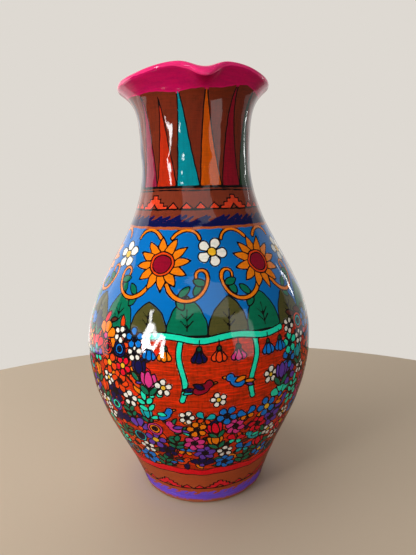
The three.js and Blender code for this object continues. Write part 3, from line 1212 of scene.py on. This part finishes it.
def painted_skin(name, level=True):
    """Brush-painted clay under varnish. The outline shows where a field of the skin is
    within a line's half width of zero. Long streaks darken or brighten the brushed
    grounds, and short ones across them darken them. The broadest are level, or upright
    where the brush went up and down."""
    graph = Graph(bpy.data.materials.new(name))
    place = graph.place()
    paint = graph.attribute("paint", "Color")
    brush = graph.attribute("paint", "Alpha")
    ink = graph.attribute("ink", "Color")
    edge = graph.attribute("edge", "Vector")
    fields = [graph.node("ShaderNodeSeparateXYZ", {}, {0: edge}, k) for k in range(3)]
    nearest = abs(fields[0]).least(abs(fields[1])).least(abs(fields[2]))
    pen = graph.noise(place, 380.0, 1.0)
    half = 0.31 + pen * 0.25
    outline = 1.0 - (nearest - half).between(-0.07, 0.07)
    thin = 1.0 - (graph.attribute("line", "Fac") - pen * 0.16).between(-0.14, 0.0)
    mask = outline.most(thin)
    across, up = (62.0, 700.0) if level else (430.0, 34.0)
    streaks = graph.streaks(place, across, up, 4.0)
    fine = graph.streaks(place, 120.0, 1300.0)
    hatch = graph.streaks(place, 800.0, 90.0)
    bright = graph.streaks(place, 96.0, 900.0)
    dark = streaks.between(0.46, 0.60) * 0.6 + fine.between(0.46, 0.60) * 0.45
    streak = (dark + hatch.between(0.50, 0.62) * 0.45) * brush
    patches = graph.noise(place, 34.0, 3.0, 0.6).between(0.3, 0.7)
    darker = graph.mix(1.0, paint, (0.44, 0.62, 0.64), "MULTIPLY")
    paler = graph.mix(1.0, paint, (0.86, 0.86, 0.86), "MULTIPLY")
    vivid = graph.mix(1.0, paint, (1.3, 0.9, 0.8), "MULTIPLY")
    ground = graph.mix(patches * 0.7, paint, paler)
    ground = graph.mix(streak.least(1.0), ground, darker)
    ground = graph.mix(bright.between(0.53, 0.64) * brush * brush, ground, vivid)
    shade = graph.mix(mask, ground, ink)
    coat = graph.attribute("varnish", "Fac")
    grain = graph.noise(place, 900.0, 3.0)
    clay = graph.mix(grain.between(0.35, 0.7) * 0.5, shade, (0.30, 0.12, 0.06))
    shade = graph.mix(coat, clay, shade)
    roughness = 0.78 - coat * 0.75 + graph.noise(place, 60.0, 2.0) * 0.02
    relief = varnish_relief(graph, place) * coat
    ridges = (streaks * 0.00004 + fine * 0.00001) * brush
    relief = relief + ridges + grain * (1.0 - coat) * 0.0001
    return graph.varnished(shade, roughness, relief)


def strap_varnish(name, shade):
    """One varnished colour with faint patches, and brush streaks along the strap."""
    graph = Graph(bpy.data.materials.new(name))
    place = graph.place()
    patches = graph.noise(place, 40.0, 3.0, 0.6).between(0.3, 0.75)
    streaks = graph.streaks(place, 520.0, 34.0, 4.0, ahead=34.0)
    dark = tuple(value * 0.55 for value in shade)
    amount = patches * 0.35 + streaks.between(0.42, 0.66) * 0.65
    roughness = 0.05 + graph.noise(place, 60.0, 2.0) * 0.02
    relief = varnish_relief(graph, place) + streaks * 0.00003
    return graph.varnished(graph.mix(amount, shade, dark), roughness, relief)


def matt(name, seen, mirrored):
    """A matt colour for the floor: one as it is seen and one as it lights the rest."""
    graph = Graph(bpy.data.materials.new(name))
    direct = graph.node("ShaderNodeLightPath", {}, {}, "Is Camera Ray")
    shade = graph.mix(direct, mirrored, seen)
    return graph.finish({"Base Color": shade, "Roughness": 0.9, "Specular IOR Level": 0.2})


# Pieces

# The flat underside's share of the foot's radius.
FOOT_INSET = 0.976


def bare_ends(skin, rows, below, above):
    """The skin's values for a closed slab: plain clay rows below and above the painted
    edge, and one more value for each of its two middles."""
    made = []
    for name, kind, field, values in paint_attributes(skin, rows, 1):
        width = values.shape[2] if values.ndim == 3 else 1
        flat = values.reshape(-1, COLUMNS, width)
        own, clay = flat[:-1], flat[-1:]
        grid = np.concatenate((np.repeat(clay, below, 0), own, np.repeat(clay, above, 0)))
        values = np.concatenate((grid.reshape(-1, width), clay[0, :2]))
        made.append((name, kind, field, values))
    return made


class PITCHER_OT_floor_slab(bpy.types.Operator):
    """Adds the floor slab, whose edge is bare clay below the purple band"""

    bl_idname = "pitcher.floor_slab"
    bl_label = "Floor slab"

    def execute(self, context):
        pot, skin, rows = painted(*settings())
        outside = skin.distance[rows["floor_slab"]]
        edge = pot.skin(outside[:, None], TURN)
        under = pot.skin(np.array(((0.0,),)), TURN)
        foot = np.concatenate((under * 0.5, under)) * (FOOT_INSET, FOOT_INSET, 0.0)
        above = pot.skin(outside[-1:][:, None], TURN) * (0.5, 0.5, 1.0)
        grid = np.concatenate((foot, edge, above))
        points = grid.reshape(-1, 3)
        middles = np.array(((0.0, 0.0, 0.0), (0.0, 0.0, SLAB_TOP)))
        piece = new_piece(
            "floor_slab_clay",
            np.concatenate((points, middles)),
            [quads(len(grid), COLUMNS, False), *caps(len(points), COLUMNS)],
            None,
            bare_ends(skin, rows["floor_slab"], len(foot), len(above)),
        )
        dress(piece, "floor_slab", painted_skin("slab_clay"))
        return {"FINISHED"}


class PITCHER_OT_lower_body(bpy.types.Operator):
    """Adds the lower bowl with the garden painted on it"""

    bl_idname = "pitcher.lower_body"
    bl_label = "Lower body"

    def execute(self, context):
        seams = (SLAB_TOP, BELLY_SEAM)
        ring_piece("lower_bowl", "lower_body", "garden_paint", seams)
        return {"FINISHED"}


class PITCHER_OT_upper_body(bpy.types.Operator):
    """Adds the upper bowl with its leaves and blossoms on blue"""

    bl_idname = "pitcher.upper_body"
    bl_label = "Upper body"

    def execute(self, context):
        seams = (BELLY_SEAM, NECK_SEAM)
        ring_piece("upper_bowl", "upper_body", "shoulder_paint", seams)
        return {"FINISHED"}


class PITCHER_OT_neck(bpy.types.Operator):
    """Adds the neck with its borders and pennants"""

    bl_idname = "pitcher.neck"
    bl_label = "Neck"

    def execute(self, context):
        seams = (NECK_SEAM, RIM_SEAM)
        ring_piece("neck_collar", "neck", "pennant_paint", seams, False)
        return {"FINISHED"}


class PITCHER_OT_rim(bpy.types.Operator):
    """Adds the flared rim with its pouring lip"""

    bl_idname = "pitcher.rim"
    bl_label = "Rim and pouring lip"

    def execute(self, context):
        ring_piece("rim", "rim_and_pouring_lip", "rim_paint")
        return {"FINISHED"}


# The strap: heights of its ends, how far out it bows, how far above its ends its path is
# pulled, how much it narrows, how it spreads and thickens at its ends, how round its
# section is, its grid, and how deep in the wall its path ends.
HANDLE_TOP = 262.0
HANDLE_FOOT = 168.0
HANDLE_OUT = 98.0
HANDLE_PULLS = (8.0, 30.0)
STRAP_NARROWING = 6.0
STRAP_SPREAD = 0.3
STRAP_SWELLING = 0.75
STRAP_ROUNDNESS = 0.92
HANDLE_RINGS = 150
HANDLE_SIDES = 56
SEAT_DEPTH = 3.4


def strap(pot, sizes):
    """Rings carried along a cubic path behind the pot. Each ring is a softened oval
    that narrows towards the foot, spreads where the strap is luted to the clay, and
    follows the round of the wall there."""
    top = pot.radius(HANDLE_TOP) - SEAT_DEPTH
    foot = pot.radius(HANDLE_FOOT) - SEAT_DEPTH
    upper = (HANDLE_OUT + sizes.strap_thickness, HANDLE_TOP + HANDLE_PULLS[0])
    lower = (HANDLE_OUT, HANDLE_FOOT + HANDLE_PULLS[1])
    path = cubic(((top, HANDLE_TOP), upper, lower, (foot, HANDLE_FOOT)), HANDLE_RINGS)
    along = np.gradient(path, axis=0)
    along /= np.hypot(along[:, 0], along[:, 1])[:, None]
    share = np.linspace(0.0, 1.0, HANDLE_RINGS)
    end = np.abs(2 * share - 1.0)
    width = (sizes.strap_width - STRAP_NARROWING * share) / 2 * (1.0 + STRAP_SPREAD * end**9)
    thick = sizes.strap_thickness / 2 * (1.0 + STRAP_SWELLING * end**12)
    turn = np.linspace(0.0, 2 * np.pi, HANDLE_SIDES, endpoint=False)
    ways = (np.cos(turn), np.sin(turn))
    across, out = (np.sign(way) * np.abs(way) ** STRAP_ROUNDNESS for way in ways)
    knead = 0.01 * np.cos(3 * turn + 9 * share[:, None])
    dent = 1.0 + 0.012 * np.sin(31 * share)[:, None] + knead
    x = width[:, None] * across * dent
    lift = thick[:, None] * out * dent
    y = path[:, :1] - along[:, 1:] * lift
    z = path[:, 1:] + along[:, :1] * lift
    wall = pot.at(pot.outer(z))[0]
    round_wall = wall - np.sqrt(wall**2 - np.minimum(np.abs(x), 0.9 * wall) ** 2)
    y = y - round_wall * end[:, None] ** 10
    return np.stack((x, y, z), -1), path


class PITCHER_OT_handle(bpy.types.Operator):
    """Adds the strap handle behind the neck"""

    bl_idname = "pitcher.handle"
    bl_label = "Handle"

    def execute(self, context):
        sizes, colours = settings()
        rings_along, path = strap(painted(sizes, colours)[0], sizes)
        points = rings_along.reshape(-1, 3)
        middles = np.stack((np.zeros(2), path[[0, -1], 0], path[[0, -1], 1]), 1)
        faces = [quads(HANDLE_RINGS, HANDLE_SIDES, False), *caps(len(points), HANDLE_SIDES)]
        piece = new_piece("strap_handle", np.concatenate((points, middles)), faces)
        material = strap_varnish("handle_paint", colours.neck)
        dress(piece, "handle", material)
        return {"FINISHED"}


# Stage

# The camera's turn round the pitcher, its place in metres, its own turns and its lens,
# the point that the lamps face, and the floor in millimetres.
CAMERA_TURN = np.radians(-7.5)
CAMERA_OUT = 0.3230
CAMERA_UP = 0.2254
CAMERA_YAW = np.radians(1.36)
CAMERA_PITCH = np.radians(11.13)
CAMERA_ROLL = np.radians(-1.28)
CAMERA_SENSOR = 36.0
CAMERA_LENS = 417.0 / 555.0 * CAMERA_SENSOR
AIM = Vector((0.0, 0.0, 0.17))
FLOOR_RADIUS = 560.0
FLOOR_MIDDLE = (-36.0, -273.0, -0.15)
FLOOR_THICKNESS = 28.0
FLOOR_SIDES = 256


def direction(azimuth, elevation):
    """A direction from the pitcher. Azimuth 0 is towards the camera, and grows to the
    camera's right. Both are in degrees."""
    turn = np.radians(azimuth) + CAMERA_TURN
    up = np.radians(elevation)
    return Vector((np.sin(turn) * np.cos(up), -np.cos(turn) * np.cos(up), np.sin(up)))


def softbox(
    name, azimuth, elevation, away, wide, tall, radiance, mirrored=True, soft=True,
    fan=180.0, tilt=0.0, lift=0.0,
):
    """A rectangular lamp that faces the pitcher. Its width and height are given as the
    angles that they fill, and its power follows from its brightness and area. It shows
    in the varnish if it is mirrored, and lights the paint if it is soft. Its light fans
    out over an angle. It may be tilted on its own axis, and lifted with what it faces."""
    lamp = bpy.data.lights.new(name, "AREA")
    lamp.shape = "RECTANGLE"
    lamp.size = 2 * away * np.tan(np.radians(wide) / 2)
    lamp.size_y = 2 * away * np.tan(np.radians(tall) / 2)
    lamp.energy = radiance * np.pi * lamp.size * lamp.size_y
    if fan < 180.0:
        half = np.radians(fan) / 2
        lamp.energy *= 1.0 - half / np.tan(half)
    lamp.spread = np.radians(fan)
    made = bpy.data.objects.new(name, lamp)
    towards = direction(azimuth, elevation)
    made.location = AIM + away * towards + Vector((0.0, 0.0, lift))
    made.rotation_mode = "QUATERNION"
    upright = (-towards).to_track_quat("-Z", "Y")
    made.rotation_quaternion = upright @ Quaternion((0.0, 0.0, 1.0), np.radians(tilt))
    made.visible_glossy = mirrored
    made.visible_diffuse = soft
    made.visible_camera = False
    bpy.context.scene.collection.objects.link(made)


# The lamps. Each has its azimuth and elevation, then its width and height, in degrees.
# Panes and broad lights end with their share of the window's or the key's brightness,
# cards with their own brightness, and the neck's panes with how far they are lifted.
# Near panes have a tilt before that share, and broad lights their distance before their
# width. The distances of the rest are named here, in metres.
FAR = 1.3
NEAR = 0.197
CARD_AWAY = 1.5
FAR_PANES = (
    ("window_tall", -49.8, 13.4, 6.6, 6.7, 1.2),
    ("window_edge", -51.2, 8.7, 2.4, 3.0, 1.2),
    ("window_high", -52.0, 20.5, 3.4, 7.0, 1.0),
    ("window_top", -51.5, 5.2, 1.0, 4.4, 1.2),
)
REAR_PANES = (
    ("window_rear", 120.0, 8.0, 1.4, 8.0, 0.5),
    ("window_rear_low", 118.0, 14.5, 1.2, 5.0, 0.2),
)
NECK_PANES = (
    ("pane", -26.2, 6.5, 4.2, 1.8, 0.09),
    ("pane_low", -25.5, 13.2, 6.4, 2.2, 0.08),
    ("pane_foot", -28.0, 21.0, 6.4, 1.4, 0.07),
)
NEAR_PANES = (
    (-43.0, -1.0, 3.6, 11.0, -25.0, 2.3),
    (-39.4, 0.2, 4.4, 8.0, 0.0, 1.9),
    (-35.4, 0.2, 2.4, 8.0, 30.0, 1.8),
    (-41.4, -7.4, 7.2, 8.8, 0.0, 2.7),
    (-44.9, -11.0, 2.2, 9.6, 0.0, 3.7),
    (-41.8, -12.4, 1.8, 7.0, -14.0, 3.5),
    (-32.0, -7.0, 1.6, 12.0, -37.0, 3.0),
    (-33.0, -3.6, 7.0, 4.6, 0.0, 1.3),
    (-36.6, -11.0, 5.4, 2.4, -18.0, 2.7),
    (-27.2, -9.6, 2.4, 13.0, 4.0, 3.0),
)
CARDS = (
    ("ceiling", 180.0, 52.0, 70.0, 36.0, 0.5),
    ("ceiling_front", 2.7, 36.0, 50.0, 17.0, 1.5),
    ("card_left", -112.0, 3.0, 26.0, 46.0, 1.5),
    ("card_corner", -141.0, 3.0, 32.0, 46.0, 0.6),
    ("card_right", 130.0, 6.0, 50.0, 40.0, 0.45),
)
BROAD_LIGHTS = (
    ("key", -70.0, 12.0, 1.5, 50.0, 44.0, 1.06),
    ("fill", 0.0, 2.0, 1.6, 50.0, 40.0, 0.36),
    ("back", 175.0, 25.0, 1.6, 70.0, 40.0, 0.4),
    ("above", -78.0, 62.0, 1.2, 60.0, 60.0, 0.42),
)


class PITCHER_OT_stage(bpy.types.Operator):
    """Adds the floor, the soft lights, the surroundings and the camera"""

    bl_idname = "pitcher.stage"
    bl_label = "Stage, lights and camera"

    def execute(self, context):
        studio = context.scene.pitcher_studio
        self.add_floor(studio)
        self.add_lights(studio)
        self.add_world(context.scene, studio)
        self.add_camera(context.scene)
        context.scene.view_settings.view_transform = "Standard"
        return {"FINISHED"}

    def add_floor(self, studio):
        """A round floor, whose far edge lies a little behind the pitcher."""
        sides = FLOOR_SIDES
        turn = np.linspace(0.0, 2 * np.pi, sides, endpoint=False)
        edge = np.stack((np.cos(turn), np.sin(turn), np.zeros(sides)), 1) * FLOOR_RADIUS
        edge = edge + FLOOR_MIDDLE
        points = np.concatenate((edge, edge - (0.0, 0.0, FLOOR_THICKNESS)))
        top = np.arange(sides)[None, :]
        bottom = np.arange(2 * sides - 1, sides - 1, -1)[None, :]
        side = quads(2, sides, False)[:, ::-1]
        floor = new_piece("floor", points, [top, bottom, side], smooth=False)
        floor.data.materials.append(matt("floor_pale", studio.floor, studio.bounce))

    def add_lights(self, studio):
        """Panes of a tall window that the varnish mirrors, far off and near by, cards and
        a ceiling that it mirrors faintly, and broad lights that it doesn't mirror."""
        window, key = studio.window, studio.key
        for name, azimuth, elevation, wide, tall, share in FAR_PANES:
            softbox(name, azimuth, elevation, FAR, wide, tall, window * share)
        for k, (azimuth, elevation, wide, tall, tilt, share) in enumerate(NEAR_PANES):
            name = f"near_pane_{k}"
            softbox(name, azimuth, elevation, NEAR, wide, tall, window * share, soft=False,
                    fan=66.0, tilt=tilt)
        softbox("rim_glow", -52.0, -3.5, 0.192, 9.0, 6.0, window * 0.08, soft=False)
        for name, azimuth, elevation, wide, tall, share in REAR_PANES:
            softbox(name, azimuth, elevation, FAR, wide, tall, window * share)
        for name, azimuth, elevation, wide, tall, lift in NECK_PANES:
            softbox(name, azimuth, elevation, FAR, wide, tall, window * 1.4, fan=7.0, lift=lift)
        softbox("panel", 41.0, 1.5, FAR, 21.0, 47.0, 2.2)
        for name, azimuth, elevation, wide, tall, radiance in CARDS:
            softbox(name, azimuth, elevation, CARD_AWAY, wide, tall, radiance, soft=False)
        for name, azimuth, elevation, away, wide, tall, share in BROAD_LIGHTS:
            softbox(name, azimuth, elevation, away, wide, tall, key * share, mirrored=False)

    def add_world(self, scene, studio):
        """Pale surroundings all round, as the camera sees them. The pitcher is lit by, and
        mirrors, pale ones behind it and dimmer ones in front."""
        graph = Graph(bpy.data.worlds.new("surroundings"))
        scene.world = graph.owner
        way = graph.node("ShaderNodeTexCoord", {}, {}, "Generated")
        inputs = {0: way, 1: direction(-170.0, 0.0)}
        product = {"operation": "DOT_PRODUCT"}
        behind = graph.node("ShaderNodeVectorMath", product, inputs, "Value")
        pale = behind.between(0.4, 0.9)
        room = 0.14 + pale * pale * (3.0 - 2.0 * pale) * 0.86
        seen = graph.node("ShaderNodeLightPath", {}, {}, "Is Camera Ray")
        inputs = {"Color": (*studio.surroundings, 1.0), "Strength": room.most(seen)}
        graph.end("ShaderNodeOutputWorld", graph.node("ShaderNodeBackground", {}, inputs))

    def add_camera(self, scene):
        """A camera at the height and angle from which the pitcher is seen. Its own
        right, up and back are turned by yaw, pitch and roll."""
        data = bpy.data.cameras.new("camera")
        data.sensor_fit = "AUTO"
        data.sensor_width = CAMERA_SENSOR
        data.lens = CAMERA_LENS
        data.clip_start = 0.01
        data.clip_end = 50.0
        camera = bpy.data.objects.new("camera", data)
        turn = Matrix.Rotation(CAMERA_TURN, 3, "Z")
        yaw = Matrix.Rotation(-CAMERA_YAW, 3, "Z")
        ahead = turn @ yaw @ Vector((0.0, np.cos(CAMERA_PITCH), -np.sin(CAMERA_PITCH)))
        right = turn @ yaw @ Vector((1.0, 0.0, 0.0))
        up = right.cross(ahead)
        tilted = right * float(np.cos(CAMERA_ROLL)) + up * float(np.sin(CAMERA_ROLL))
        up = tilted.cross(ahead)
        axes = Matrix((tilted, up, -ahead)).transposed()
        place = turn @ Vector((0.0, -CAMERA_OUT, CAMERA_UP))
        camera.matrix_world = Matrix.Translation(place) @ axes.to_4x4()
        scene.collection.objects.link(camera)
        scene.camera = camera


class PITCHER_PT_sidebar(bpy.types.Panel):
    """Lists the pieces of the pitcher and its settings"""

    bl_idname = "PITCHER_PT_sidebar"
    bl_label = "Terracotta pitcher"
    bl_space_type = "VIEW_3D"
    bl_region_type = "UI"
    bl_category = "Pitcher"

    def draw(self, context):
        column = self.layout.column(align=True)
        for operator in OPERATORS:
            column.operator(operator.bl_idname)
        for group_name in GROUPS:
            group = getattr(context.scene, group_name)
            box = self.layout.box()
            for name in type(group).__annotations__:
                box.prop(group, name)


OPERATORS = (
    PITCHER_OT_floor_slab,
    PITCHER_OT_lower_body,
    PITCHER_OT_upper_body,
    PITCHER_OT_neck,
    PITCHER_OT_rim,
    PITCHER_OT_handle,
    PITCHER_OT_stage,
)
GROUPS = {
    "pitcher_sizes": PitcherSizes,
    "pitcher_colours": PitcherColours,
    "pitcher_studio": PitcherStudio,
}


def register():
    for group in GROUPS.values():
        bpy.utils.register_class(group)
    for name, group in GROUPS.items():
        setattr(bpy.types.Scene, name, PointerProperty(type=group))
    for item in (*OPERATORS, PITCHER_PT_sidebar):
        bpy.utils.register_class(item)


def unregister():
    for item in reversed((*OPERATORS, PITCHER_PT_sidebar)):
        bpy.utils.unregister_class(item)
    for name in GROUPS:
        delattr(bpy.types.Scene, name)
    for group in reversed(GROUPS.values()):
        bpy.utils.unregister_class(group)


def main():
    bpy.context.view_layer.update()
    register()
    bpy.ops.pitcher.floor_slab()
    bpy.ops.pitcher.lower_body()
    bpy.ops.pitcher.upper_body()
    bpy.ops.pitcher.neck()
    bpy.ops.pitcher.rim()
    bpy.ops.pitcher.handle()
    bpy.ops.pitcher.stage()


if __name__ == "__main__":
    main()
